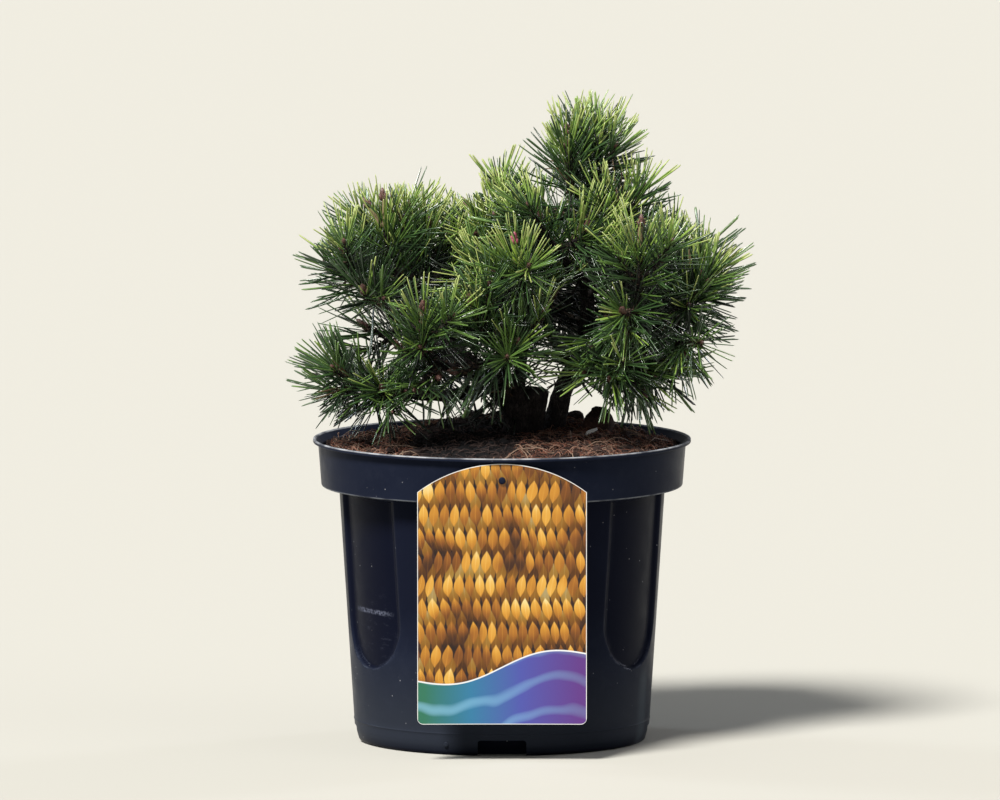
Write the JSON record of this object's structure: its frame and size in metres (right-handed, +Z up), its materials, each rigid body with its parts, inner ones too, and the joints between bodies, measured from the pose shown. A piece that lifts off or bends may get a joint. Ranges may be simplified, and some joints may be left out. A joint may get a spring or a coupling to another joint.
{
  "type": "potted mugo pine",
  "caption": "Young dwarf pine with bushy needle shoots on two short stems, growing in a round black nursery pot with a picture card on its rim band",
  "frame": {"origin": "centre of the pot's flat underside", "axes": "+Z up along the pot's axis, +X to the right and +Y to the back as seen from the card's side, so the card faces -Y"},
  "size_m": [0.2783, 0.2437, 0.3902],
  "materials": {
    "pot_plastic": "thin navy-black moulded polypropylene with a soft gloss, faint scuffs and dust",
    "card_plastic": "printed glossy plastic card with a white edge",
    "peat": "moist peat and coir with fine reddish fibres",
    "bark": "dark scaly grey-brown bark",
    "needles": "stiff waxy green needles with a soft sheen, brighter towards the shoot tips"
  },
  "bodies": {
    "root": {"pot": "pot_plastic", "card": "card_plastic", "root_ball": "peat", "trunk": "bark", "left_stem": "bark", "right_bough": "bark", "upper_right_bough": "bark", "right_front_bough": "bark", "right_low_bough": "bark", "crown_mid_bough": "bark", "centre_bough": "bark", "front_low_bough": "bark", "left_front_bough": "bark", "left_bough": "bark", "left_low_bough": "bark", "centre_back_bough": "bark", "back_bough": "bark", "back_right_bough": "bark", "back_left_bough": "bark", "needles_crown_top": "needles", "needles_crown_mid": "needles", "needles_upper_right": "needles", "needles_right_front": "needles", "needles_right": "needles", "needles_right_low": "needles", "needles_front_centre": "needles", "needles_front_low": "needles", "needles_left_front": "needles", "needles_left_top": "needles", "needles_left": "needles", "needles_left_low": "needles", "needles_centre_back": "needles", "needles_back": "needles", "needles_back_right": "needles", "needles_back_left": "needles"}
  },
  "joints": []
}
